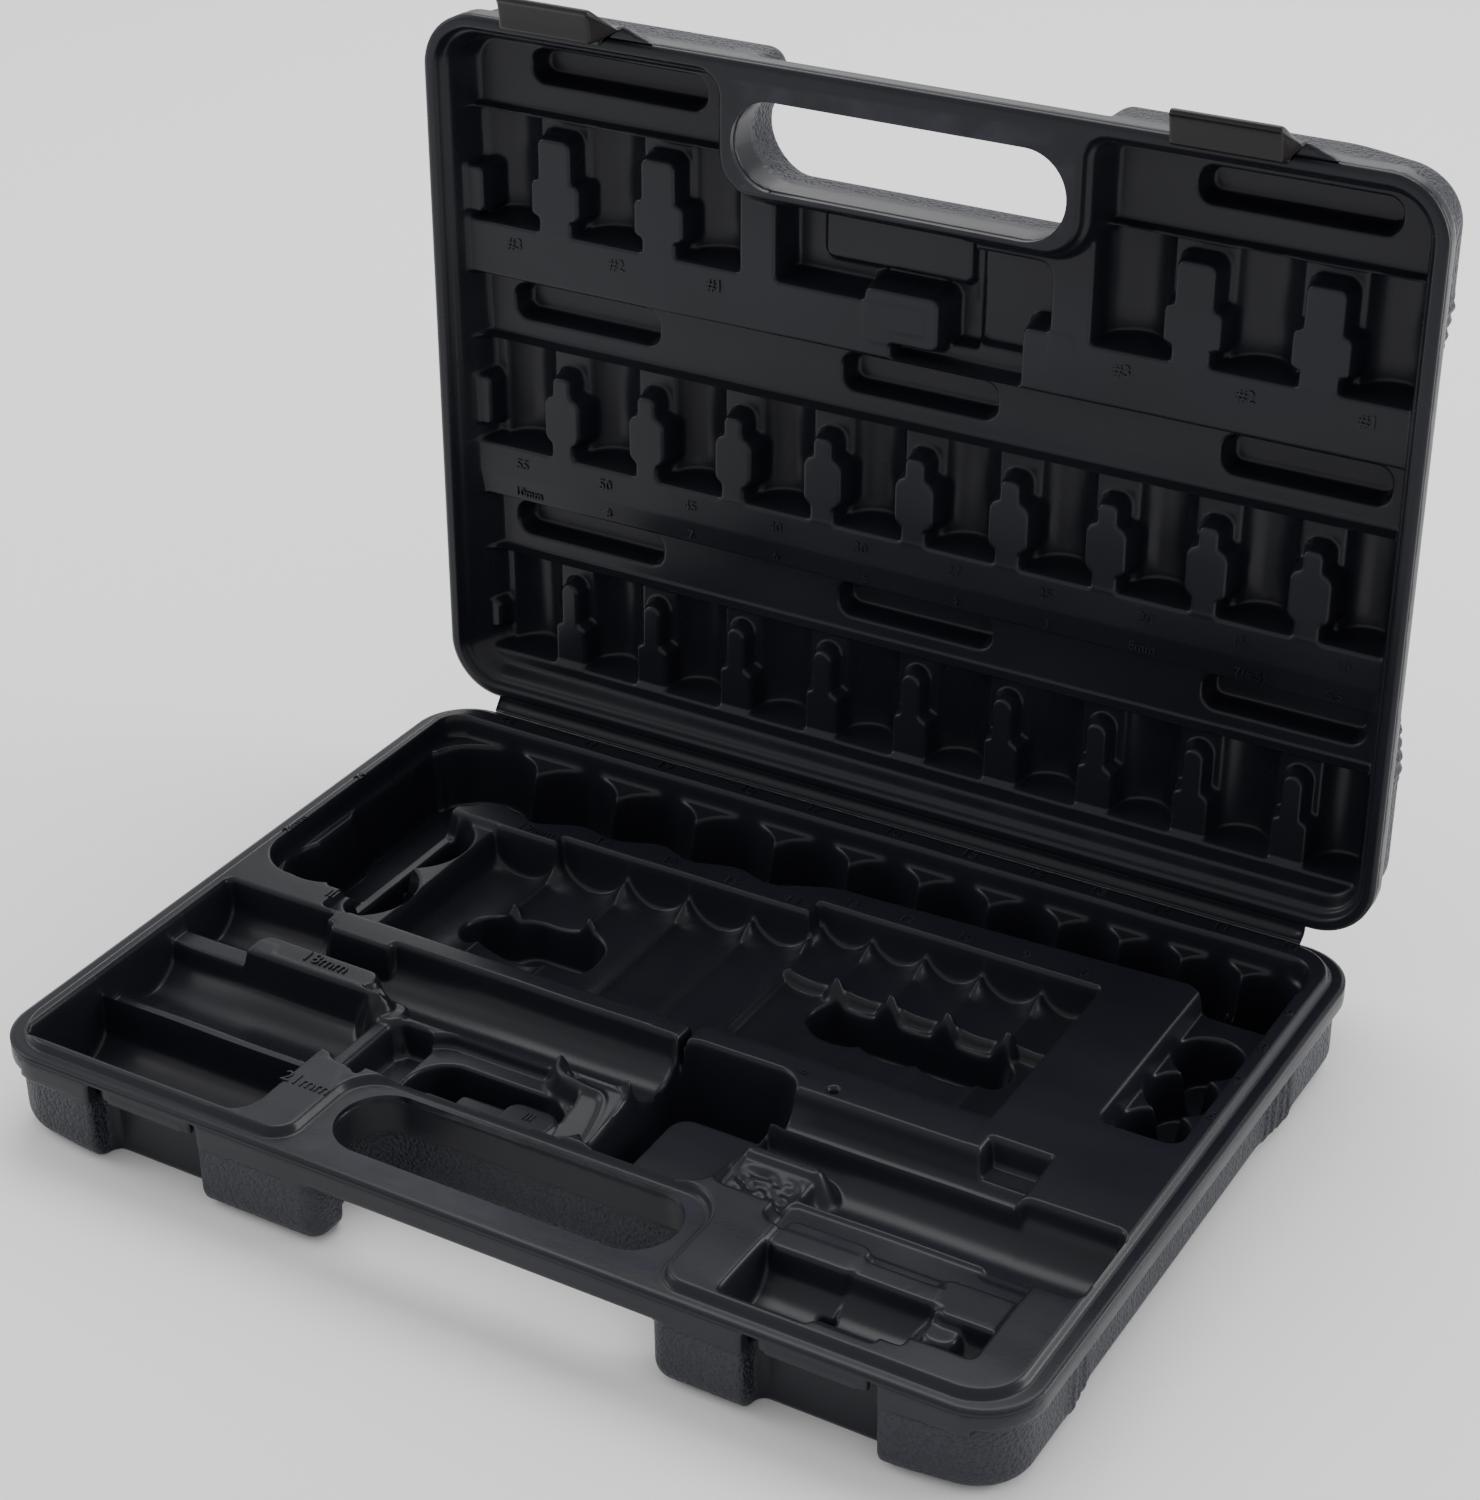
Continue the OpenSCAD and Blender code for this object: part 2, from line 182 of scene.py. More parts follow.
def lip(x, y):
    """The raised lip of the base: the inside of the flange, which goes round the grip."""
    body = box(x, y, -189, -133.5, 189, 133.5, 17)
    grip = box(x, y, -70.5, -190, 70.5, -90.3, 14)
    return rmax(body, -grip, 9)


def deep_floor(x, y):
    """Half-round nests side by side along Y. Their ridges are tall only near the back wall."""
    z = np.full_like(x, -5.0)
    far = np.where(x > 14.3, 74, 66)
    tall = 0.42 + 0.58 * step(far - 13, far - 3, y)
    for a, b in zip(DEEP_X[:-1], DEEP_X[1:]):
        c, hw = (a + b) / 2, (b - a) / 2
        r = math.hypot(hw, 5)
        inside = np.abs(x - c) <= hw
        z = np.where(inside, -r + tall * (r - np.sqrt(np.maximum(r * r - (x - c) ** 2, 0))), z)
    return z


def bead(z, x, y, points, r, slope, edge):
    """A raised bead along a curve of (x, y, top) points, rounded by cutting its corners."""
    q = np.array(points, float)
    for _ in range(3):
        rounder = np.stack([q[:-1] * 0.75 + q[1:] * 0.25, q[:-1] * 0.25 + q[1:] * 0.75], 1)
        q = np.vstack([q[:1], rounder.reshape(-1, 3), q[-1:]])
    near, top = np.full_like(x, 99.0), np.full_like(x, -99.0)
    for a, b in zip(q[:-1], q[1:]):
        ab = b[:2] - a[:2]
        t = np.clip(((x - a[0]) * ab[0] + (y - a[1]) * ab[1]) / (ab @ ab), 0, 1)
        d = np.hypot(x - a[0] - t * ab[0], y - a[1] - t * ab[1]) - r
        top = np.where(d < near, a[2] + t * (b[2] - a[2]), top)
        near = np.minimum(near, d)
    return smax(z, np.minimum(top, top - slope * near), edge)


def standing_nests(z, x, y):
    """Round the back and the left: a shelf, then deep scallops."""
    shelf = np.minimum(box(x, y, -184.3, 92, 182.4, 124.6, 9), box(x, y, -184.3, -3.7, -141, 124.6, 17))
    shelf = np.minimum(shelf, box(x, y, -150, -3.7, -141, 60, 1))
    shelf = np.minimum(shelf, box(x, y, 154, 4.6, 182.4, 110, 5))
    z = cut(z, shelf, -5.5, fillet=2)
    px = [-200, -141, -127.4, -109.4, -91, -75, -57.4, -43.4, -25.5, -9.6, 5, 15, 152, 156, 200]
    py = [60, 66, 77, 70, 78.5, 75, 82, 76, 82, 77, 84, 87.3, 92.8, 88, 88]
    front = np.interp(x, px, py)
    for _ in range(2):
        front = (np.interp(x - 2.5, px, py) + np.interp(x + 2.5, px, py) + front) / 3
    row = np.maximum(np.maximum(front - y, y - 106), box(x, y, -181, 60, 179, 130, 8))
    xs = -172.7
    for p in BACK_PITCH:
        r = p * 0.55
        row = np.minimum(row, disc(x, y, xs + p / 2, 122.8 - r, r))
        xs += p
    row = np.maximum(row, front - y)
    column = box(x, y, -178.5, 4, -143, 112, 12)
    for cy, r in ((17.5, 21), (60, 21), (101, 20)):
        column = np.minimum(column, disc(x, y, -160.5, cy, r))
    column = np.maximum(column, x + 143)
    nests = smin(row, column, 2)
    z = cut(z, nests, -31, top=-5.5, slope=10, fillet=5)
    z = cut(z, np.maximum(nests, box(x, y, -143.6, 62, 153, 100, 1)), -31, slope=10, fillet=5)
    # small sockets down the right side
    small = box(x, y, 163.5, 8, 172.5, 74, 3)
    for cy in (19, 42, 65):
        small = np.minimum(small, disc(x, y, 167.8, cy, 12))
    z = cut(z, small, -24, top=-5.5, slope=9, fillet=4)
    return z


def partition(z, x, y):
    """The recess beside the left nests, and the scalloped blade between them."""
    recess = box(x, y, -139, -12, -121, 61, 6)
    blade = np.minimum(disc(x, y, -144, 43, 21.5), disc(x, y, -142, 6, 20.5))
    recess = smax(recess, blade, 1.5)
    z = cut(z, box(x, y, -143, -16, -118, 61.5, 2), 0.0, fillet=1)
    z = cut(z, box(x, y, -144, -3, -137, 61, 2), -8, top=0, fillet=3)
    z = cut(z, recess, -17, top=0, slope=8, fillet=4)
    return z


def deep_nests(z, x, y):
    """The ten nests along Y, small thorns on their ridges and two wells for fingers."""
    left = box(x, y, -120.5, -14.7, 14.3, 66, 1)
    left = np.maximum(left, -box(x, y, -140, 61, -93, 90, 1))
    right = box(x, y, 12, -30, 123.2, 74, 1)
    nests = np.minimum(left, right)
    floor = deep_floor(x, y)
    floor = np.where(x > 14.3, floor - 4 * (1 - step(44.6, 46.6, y)), floor)
    ramp = step(-14, 8, y)
    floor = np.where(x > 14.3, DECK + (floor - DECK) * ramp, floor)
    z = smin(z, np.maximum(floor, draft(nests)), 0.6)
    for tx, ty, top in ((-93, 33, -7.5), (-63.8, 38.5, -7.5), (35, 46, -5), (56.6, 46, -5), (78.8, 46, -5),
                        (102, 46, -5)):
        z = raise_(z, disc(x, y, tx, ty, 0.3), top, slope=2, edge=1)
    well = smin(box(x, y, -108, 9, -50, 31, 11), box(x, y, -92, 9, -50, 37.5, 12), 2)
    z = cut(z, well, -30, top=0, slope=9, fillet=5)
    z = cut(z, box(x, y, 30.5, 22, 110.5, 43.5, 10.5), -30, top=-4, slope=9, fillet=5)
    return z


def left_grooves(z, x, y):
    """The three nests at the front left, the ridges between them and the long bar's nest."""
    wall = np.maximum(draft(np.maximum(-184 - x, x + 89.6)), draft(y + 130.3, -1.5))
    wall = np.maximum(wall, draft(y + 91))
    z = sink(z, half_round(y, -107.5, -8, 17), wall)
    z = cut(z, box(x, y, -184, -92, -89.6, -80, 1), -9.5, fillet=1)
    z = sink(z, half_round(y, -68.5, 2, 19), draft(box(x, y, -184, -84.6, -89, -53, 2)))
    z = cut(z, box(x, y, -184, -60, -149, -44, 1), -4, fillet=1)
    z = cut(z, box(x, y, -91, -88, -60, -47, 6), -5, fillet=3)
    z = cut(z, box(x, y, -84.5, -90, -66, -52, 6), -17, top=-4, slope=5, fillet=6)
    z = sink(z, half_round(y, -32, -2, 14), draft(box(x, y, -184, -45.5, -136, -18, 2)))
    # the long bar's nest
    z = sink(z, half_round(y, -37, 0.5, 13.5), draft(box(x, y, -140, -51, 13, -23.2, 4)))
    z = raise_(z, box(x, y, -149, -51.5, -97, -41.5, 5), DECK, slope=5)
    z = raise_(z, segment(x, y, -100, -46.5, -93, -51, 3.5), 0.5, slope=3)
    z = raise_(z, box(x, y, -97, -56, -83, -45, 4), -4, slope=2.5, edge=2)
    bar = np.minimum(box(x, y, -132.5, -22.8, 0, -14.6, 1.5), box(x, y, -132.5, -27, -106, -14.6, 2))
    return raise_(z, bar, DECK, slope=7)


def ratchet_nest(z, x, y):
    """Terraces that step down to a deep middle, with a hook-shaped bead round them."""
    land = -3 + 0.24 * np.minimum(y + 54, 0)
    z = smin(z, smax(land, draft(box(x, y, -20, -89.3, 12, -49.5, 8), 5), 2), 0.8)
    z = cut(z, box(x, y, -74, -110, -4, -49.3, 16), -10, top=-2.5, slope=4.5, fillet=2)
    z = cut(z, box(x, y, -65, -110, -5, -59, 14), -27, top=-10, slope=6, fillet=4)
    z = raise_(z, box(x, y, -44, -100, -18, -71, 2), -10.5, slope=5)
    z = raise_(z, box(x, y, -24, -100, -4.5, -70, 5), -6.5, slope=6)
    hook = ((-20, -47, -1), (-17, -54, -1.5), (-4, -56.5, -2), (4, -56, -2.5), (7, -66, -5), (8, -80, -9))
    z = bead(z, x, y, hook, 0.8, 2.2, 1.2)
    # the deep well for fingers beside it, and the block in the well
    z = cut(z, box(x, y, 10.3, -88.8, 61, -21.6, 11), -30, fillet=5)
    z = raise_(z, box(x, y, 24, -100, 66, -43, 7), -12.5, slope=6, edge=3)
    # the lip passes in front of both
    return np.where((y < -88.9) & (np.abs(x) < 70.6), np.maximum(z, rim_height(x, y)), z)


def right_grooves(z, x, y):
    """The two long nests at the right, with a ridge between them and a rough patch at their end."""
    wall = np.maximum(draft(box(x, y, 57, -46.4, 150.5, -29, 2), 7), np.minimum(draft(y + 27.2, 1.9), 0.3))
    z = sink(z, half_round(y, -37.9, 1, 10.5), wall, 2)
    z = cut(z, box(x, y, 58, -47, 150.5, -28.2, 1.2), 0.2, slope=1.9, fillet=1)
    z = cut(z, box(x, y, 128, -34, 150.5, -20.5, 1.2), -6.5, slope=4, fillet=1.5)
    z = cut(z, box(x, y, 60, -84, 172.5, -46, 6), -3.2, slope=4, fillet=2)
    plan = np.minimum(box(x, y, 86, -73.8, 187.3, -46.6, 3), box(x, y, 60, -58, 120, -46.6, 1))
    wall = draft(plan, 7)
    wall = np.where(x > 151, np.maximum(wall, draft(y + 43.8, 5)), wall)
    floor = half_round(y, -60.1, 1.6, 14.6)
    z = sink(z, floor, wall, 3)
    z = sink(z, np.minimum(floor, -5), draft(box(x, y, 151, -80, 187.3, -43.8, 4), 4.5), 4)
    z = raise_(z, box(x, y, 58, -71, 85, -57.5, 5), -3.4, slope=1.6, edge=2)
    z = raise_(z, segment(x, y, 63, -59.5, 85, -59.5, 2), -1.2, slope=1.8, edge=2)
    rough = step(2, -2, box(x, y, 64, -83, 84, -66, 3))
    z = z + rough * (wander(x, y, 11, 5.5, 0.75) - 1.5)
    return cut(z, box(x, y, 84, -93, 172, -73.4, 5), -4.2, slope=5, fillet=2)


def joint_nest(z, x, y):
    """The universal joint's nest, in three sizes, and the steps behind it."""
    wall = draft(box(x, y, 90.8, -130.2, 122, -89, 2), 8)
    z = sink(z, np.maximum(half_round(y, -114.5, 1, 13.5), draft(y + 130.2, -1.5)), wall, 3)
    wall = draft(np.minimum(box(x, y, 119, -128, 143, -89, 1.5), box(x, y, 119, -124.5, 150.5, -89, 1.5)), 8)
    z = sink(z, np.maximum(half_round(y, -112.5, 0.5, 11.5), draft(y + 128, -1.5)), wall, 2.5)
    wall = draft(np.minimum(box(x, y, 148, -122, 156, -89, 2), box(x, y, 148, -120, 171.5, -89, 2)), 8)
    z = sink(z, np.maximum(half_round(y, -111.5, -0.5, 8.5), draft(y + 120, -2)), wall, 2)
    z = cut(z, box(x, y, 114, -122, 122, -109, 2), -18, top=-6, slope=6, fillet=2)
    z = raise_(z, box(x, y, 92, -102, 121.5, -87, 3), 1.2, slope=8, edge=1)
    z = raise_(z, box(x, y, 119, -98, 147.5, -87, 2), -2.2, slope=3, edge=1)
    block = np.minimum(box(x, y, 146.5, -100, 157, -87, 3), box(x, y, 152, -103.5, 173, -87, 2))
    z = raise_(z, block, 0, slope=6)
    return raise_(z, box(x, y, 150, -112, 160, -98, 4), -3.5, slope=1.5, edge=2)


def rim_height(x, y):
    """The flange at 0, and the lip and deck inside it."""
    return DECK * (1 - step(-0.7, 0.2, lip(x, y)))


def base_height(x, y):
    """The top of the base's tray."""
    z = rim_height(x, y)
    for carve in (standing_nests, partition, deep_nests, left_grooves, ratchet_nest, right_grooves, joint_nest):
        z = carve(z, x, y)
    # a raised tab that carries a size
    tab = smin(box(x, y, -89.3, -150, -69, -91.5, 7), (y + 131) * 0.8, 12)
    z = raise_(z, np.maximum(tab, np.maximum(x + 66, -102 - x)), DECK)
    to_lip = lip(x, y)
    z = np.where(to_lip > -0.7, rim_height(x, y), z)
    z = cut(z, disc(x, y, 72, -23.6, 1.6), -1, fillet=1)
    z = z + wander(x, y, 3, 45, 0.10) * step(-1, -6, to_lip)
    # the rim's outer edge is rounded
    return z - 0.8 * step(-1.2, 0, outline(x, y)) ** 2


# ---- the lid's tray, in (u, v) with the hinge at v = 0 ----

LID_DECK, LID_STRIP, LID_SLOT, LID_WELD = -10.0, -18.0, -25.5, -27.0
BIT_U, BIT_PITCH = 6, 37.9  # the middle block of a row, and the spacing of its nests


def lid_lip(u, v):
    """The edge of the recess that the base's lip enters."""
    body = box(u, v, -190, 5, 190, 272, 16.5)
    grip = box(u, v, -69.5, 229, 69.5, 400, 14)
    return rmax(body, -grip, 9)


def islands(u, v, centres, parts):
    """Blocks between the bit nests: each part is (half width, v0, v1, corner) about each centre."""
    d = np.full_like(u, 99.0)
    for c in centres:
        for hw, v0, v1, r in parts:
            d = np.minimum(d, box(u, v, c - hw, v0, c + hw, v1, r))
    return d


def slot_floor(u, centres, r):
    """Half-round floors side by side, each radius r."""
    z = np.full_like(u, -19.0)
    for c in centres:
        bow = LID_SLOT + r - np.sqrt(np.maximum(r * r - (u - c) ** 2, 0))
        z = np.minimum(z, np.where(np.abs(u - c) < r, bow, 0))
    return z


def lid_height(u, v):
    """The inner face of the lid's tray."""
    rim = lid_lip(u, v)
    flange = RECESS * (1 - step(-0.6, 0.3, rim))
    # the deep walls lean: less at the left and the hinge side
    lean = 1.8 + 1.6 * step(-150, 150, u)
    lean = lean + 1.2 * step(60, 240, v)
    bowl = RECESS + lean * np.minimum(rim + 2.3, 0)
    z = np.minimum(flange, np.maximum(bowl, LID_DECK))
    # low strips beside the rows of bit nests
    for u0, v0, u1, v1, r in ((-200, 58.8, 200, 83.5, 0.5), (-200, 148.5, 200, 174.8, 0.5),
                              (-200, 238.7, -66, 290, 1), (72, 238.7, 200, 290, 1)):
        wall = LID_DECK + 9 * box(u, v, u0, v0, u1, v1, r)
        z = smin(z, smax(np.maximum(LID_STRIP, bowl), wall, 3), 0.6)
    # three rows of bit nests, with blocks between the nests; row 3 is nearest the hinge
    slots = BIT_U + BIT_PITCH * np.arange(-4.5, 5)
    mids = BIT_U + BIT_PITCH * np.arange(-4, 5)
    edge = BIT_U - BIT_PITCH * 5
    row3 = islands(u, v, mids, ((7, 14, 34, 2.5), (4, 30, 51.5, 3.8)))
    row3 = np.minimum(row3, islands(u, v, [edge + 1], ((4, 24, 36, 2),)))
    row2 = islands(u, v, mids, ((5, 104, 114, 1.5), (8, 111.5, 131.5, 4.5), (4, 128, 139.3, 2.5)))
    row2 = np.minimum(row2, islands(u, v, [edge + 1], ((4.5, 113, 133, 2),)))
    row1 = islands(u, v, (-146.1, -101.2, 108, 153.5),
                   ((7.2, 194, 214, 1.5), (10.6, 202, 216.5, 2.5), (7.3, 210, 232.5, 3)))
    row1 = np.minimum(row1, islands(u, v, [edge + 1], ((4.5, 199, 217, 2),)))
    ends = (-168.6, -123.65, -78.7, 85.25, 130.75, 176.2)
    pocket = box(u, v, -67, 150, 71.7, 300, 1)  # the top row stops beside the middle pockets
    for v0, v1, blocks, top, centres, r in ((16.6, 58.8, row3, -12.0, slots, 12.5),
                                            (106.3, 148.5, row2, LID_DECK, slots, 12.5),
                                            (196.5, 238.7, row1, LID_DECK, ends, 14.0)):
        d = box(u, v, -200, v0, 200, v1, 0.5)
        if centres is ends:
            d = np.maximum(d, -pocket)
        floor = np.maximum(slot_floor(u, centres, r), bowl)
        z = smin(z, np.maximum(floor, LID_DECK + 9 * d), 0.6)
        z = np.where(d < 0.5, raise_(z, blocks, top, slope=8), z)
    # shallow welds to the outer skin
    for u0, v0, u1, v1 in ((-159, 250.5, -85, 263), (103.5, 250.5, 173.5, 263), (-170, 157, -106, 171),
                           (-28, 157, 34, 171), (119, 157, 179.5, 171), (-172, 66.5, -105.5, 80),
                           (-28, 66.5, 35.5, 80), (119, 66.5, 179.5, 80)):
        z = cut(z, box(u, v, u0, v0, u1, v1, 5.5), LID_WELD, top=LID_STRIP, slope=7)
    # the lower band of sizes slopes back
    band = (v > 83.5) & (v < 93.1) & (rim < -6)
    z = np.where(band, z - 0.12 * (93.1 - v), z)
    # middle: an adaptor's pocket with a shelf, a holder's pocket and the blocks beside them
    z = cut(z, box(u, v, -52, 196, 24, 226, 2), -24, top=LID_DECK, slope=8)
    z = cut(z, box(u, v, 8, 182, 27, 226, 3), -24, top=LID_DECK, slope=8)
    z = raise_(z, box(u, v, -37, 205, 21, 232, 3), -20.5, slope=4, edge=1)
    z = cut(z, box(u, v, 24, 184, 56, 222, 5), -22, top=LID_DECK, slope=8)
    z = cut(z, box(u, v, -5, 176, 46, 186, 1), -18, top=LID_DECK, slope=8, fillet=2)
    z = raise_(z, box(u, v, -16, 181, 13.5, 201, 3), LID_DECK, slope=7)
    z = raise_(z, box(u, v, 46, 175, 66, 198, 3), LID_DECK, slope=7)
    z = np.where(rim > -2.4, np.maximum(z, flange), z)
    z = z + wander(u, v, 5, 50, 0.10) * step(-3, -8, rim)
    return z - 0.8 * step(-1.2, 0, outline(u, v - HALF_D)) ** 2


# ---- meshes ----

def clip(v, f, d, polish):
    """Cuts a triangle mesh at d = 0 and keeps d < 0. polish moves the new points onto the true edge."""
    inside = d < 0
    count = inside[f].sum(1)
    keep = f[count == 3]
    crossed = f[(count == 1) | (count == 2)]
    edges, new_v = {}, []

    def cross(a, b):
        key = (a, b) if a < b else (b, a)
        if key not in edges:
            t = d[a] / (d[a] - d[b])
            edges[key] = len(v) + len(new_v)
            new_v.append(v[a] + t * (v[b] - v[a]))
        return edges[key]

    extra = []
    for tri in crossed:
        tri = list(tri)
        flags = [inside[i] for i in tri]
        # turned until its first point is kept and its last one isn't
        while not flags[0] or flags[2]:
            tri, flags = tri[1:] + tri[:1], flags[1:] + flags[:1]
        a, b, c = tri
        if flags[1]:
            p, q = cross(b, c), cross(c, a)
            extra += [(a, b, p), (a, p, q)]
        else:
            p, q = cross(a, b), cross(c, a)
            extra.append((a, p, q))
    new_v = polish(np.array(new_v))
    v = np.vstack([v, new_v])
    f = np.vstack([keep, np.array(extra)])
    used, f = np.unique(f, return_inverse=True)
    return v[used], f.reshape(-1, 3)


def onto(distance):
    """Moves points in plan onto distance = 0."""
    def move(p):
        for _ in range(3):
            d = distance(p[:, 0], p[:, 1])
            gx = (distance(p[:, 0] + 0.01, p[:, 1]) - d) / 0.01
            gy = (distance(p[:, 0], p[:, 1] + 0.01) - d) / 0.01
            g = np.maximum(gx * gx + gy * gy, 0.2)
            p = p.copy()
            p[:, 0] -= d * gx / g
            p[:, 1] -= d * gy / g
        return p
    return move


def sheet_grid(x0, x1, y0, y1, h, distance, height, smooth=0, low=0):
    """A height field over a plan region, as a triangle mesh with a clean border.

    smooth rounds its edges by that many millimetres. low takes the lowest height within that many cells.
    """
    xs = np.linspace(x0, x1, int(round((x1 - x0) / h)) + 1)
    ys = np.linspace(y0, y1, int(round((y1 - y0) / h)) + 1)
    x, y = np.meshgrid(xs, ys, indexing="ij")
    z = height(x, y)
    if smooth:
        z = blur(z, smooth, h)
    if low:
        z = lowest(z, low)
    d = distance(x, y)
    n, m = x.shape
    i = np.arange(n * m).reshape(n, m)
    a, b, c, e = i[:-1, :-1].ravel(), i[1:, :-1].ravel(), i[1:, 1:].ravel(), i[:-1, 1:].ravel()
    flip = np.abs(z.ravel()[a] - z.ravel()[c]) > np.abs(z.ravel()[b] - z.ravel()[e])
    one = np.where(flip[:, None], np.stack([a, b, e], 1), np.stack([a, b, c], 1))
    two = np.where(flip[:, None], np.stack([b, c, e], 1), np.stack([a, c, e], 1))
    f = np.vstack([one, two])
    v = np.stack([x.ravel(), y.ravel(), z.ravel()], 1)
    d = d.ravel()
    # a point almost on the border goes just inside, so that no sliver is cut there
    d = np.where(np.abs(d) < 0.02 * h, -0.02 * h, d)
    return clip(v, f, d, onto(distance))


def lowest(z, n):
    """The lowest height within n cells, for an underside that stays below its top."""
    for axis in (0, 1):
        pad = [(0, 0), (0, 0)]
        pad[axis] = (n, n)
        p = np.pad(z, pad, mode="edge")
        z = np.min([np.take(p, np.arange(i, i + z.shape[axis]), axis) for i in range(2 * n + 1)], 0)
    return z


def loops(f):
    """Border loops of a triangle mesh, each in the order its triangles give."""
    e = np.vstack([f[:, [0, 1]], f[:, [1, 2]], f[:, [2, 0]]])
    key = np.sort(e, 1)
    _, first, n = np.unique(key, axis=0, return_index=True, return_counts=True)
    follow = {int(a): int(b) for a, b in e[first[n == 1]]}
    found = []
    while follow:
        start = next(iter(follow))
        loop, at = [], start
        while at in follow:
            loop.append(at)
            at = follow.pop(at)
        found.append(loop)
    return sorted(found, key=len)


def zip_loops(v, upper, lower):
    """Triangles between two border loops that run the same way round."""
    start = int(np.argmin(np.hypot(*(v[lower][:, :2] - v[upper[0]][:2]).T)))
    lower = lower[start:] + lower[:start]
    u, w = upper + [upper[0]], lower + [lower[0]]

    def along(loop):
        lengths = np.linalg.norm(np.diff(v[loop][:, :2], axis=0), axis=1)
        s = np.concatenate([[0], np.cumsum(lengths)])
        return s / s[-1]

    su, sw = along(u), along(w)
    i = j = 0
    tris = []
    while i < len(u) - 1 or j < len(w) - 1:
        if j == len(w) - 1 or (i < len(u) - 1 and su[i + 1] < sw[j + 1]):
            tris.append((u[i + 1], u[i], w[j]))
            i += 1
        else:
            tris.append((w[j], w[j + 1], u[i]))
            j += 1
    return np.array(tris)


def tray(x0, x1, y0, y1, distance, height, under):
    """A closed tray: a fine top, a coarse underside and a strip round each border."""
    v, f = sheet_grid(x0, x1, y0, y1, TRAY_CELL, distance, height, smooth=0.55)
    v2, f2 = sheet_grid(x0, x1, y0, y1, UNDER_CELL, distance, under, low=1)
    f2 = f2[:, ::-1]
    points = np.vstack([v, v2])
    parts = [f, f2 + len(v)]
    # each border of the top is joined to the one below it of about its place and length
    bottom = [(loop, v2[loop].mean(0)[:2]) for loop in loops(f2)]
    for a in loops(f):
        centre = v[a].mean(0)[:2]
        unlike = [abs(len(q) * UNDER_CELL - len(a) * TRAY_CELL) + np.hypot(*(c - centre)) for q, c in bottom]
        b = bottom[int(np.argmin(unlike))][0]
        parts.append(zip_loops(points, a, [k + len(v) for k in b][::-1]))
    return points, np.vstack(parts)


def base_point(p):
    """From the base's own frame to the row frame, in metres."""
    return np.stack([p[:, 0], p[:, 1], p[:, 2] + BASE_H], 1) * MM


def lid_point(p):
    """From the lid's (u, v, z) to the row frame, with the lid standing open."""
    y, z = -p[:, 1] - FOLD_Y, -p[:, 2] - FOLD_Z + SEAM
    c, s = math.cos(-OPEN), math.sin(-OPEN)
    return np.stack([p[:, 0], HALF_D + FOLD_Y + y * c - z * s, BASE_H + FOLD_Z + y * s + z * c], 1) * MM


def base_plan(p):
    """From the row frame to the base's own frame."""
    return p / MM - [0, 0, BASE_H]


def lid_back(p):
    """From the row frame to the lid's (x, y, z) before it is turned: y as in the base's plan."""
    p = p / MM - [0, HALF_D + FOLD_Y, BASE_H + FOLD_Z]
    c, s = math.cos(OPEN), math.sin(OPEN)
    y, z = p[:, 1] * c - p[:, 2] * s, p[:, 1] * s + p[:, 2] * c
    return np.stack([p[:, 0], HALF_D + y + FOLD_Y, -(z + FOLD_Z - SEAM)], 1)


def placed(o):
    """Puts an object in the scene."""
    bpy.context.scene.collection.objects.link(o)
    return o


def mesh_object(name, v, f, material):
    mesh = bpy.data.meshes.new(name)
    mesh.from_pydata(v.tolist(), [], f.tolist())
    mesh.validate()
    mesh.update()
    mesh.materials.append(material)
    mesh.shade_smooth()
    return placed(bpy.data.objects.new(name, mesh))


def make(name, v, f, body, material, nodes=()):
    """A rigid piece on a body, in place of the CAD nodes named."""
    o = mesh_object(name, v, f, material)
    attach(o, body)
    if nodes:
        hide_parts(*nodes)
    return o


def decimate(o):
    """Thins a mesh that has too many triangles."""
    o.data.calc_loop_triangles()
    n = len(o.data.loop_triangles)
    if n <= MOST_TRIANGLES:
        return
    m = o.modifiers.new("thin", "DECIMATE")
    m.ratio = MOST_TRIANGLES / n
    deps = bpy.context.evaluated_depsgraph_get()
    thin = bpy.data.meshes.new_from_object(o.evaluated_get(deps))
    o.modifiers.clear()
    old, o.data = o.data, thin
    bpy.data.meshes.remove(old)
    thin.set_sharp_from_angle(angle=SHARP)


# ---- surface nets: a mesh from a 3D distance ----

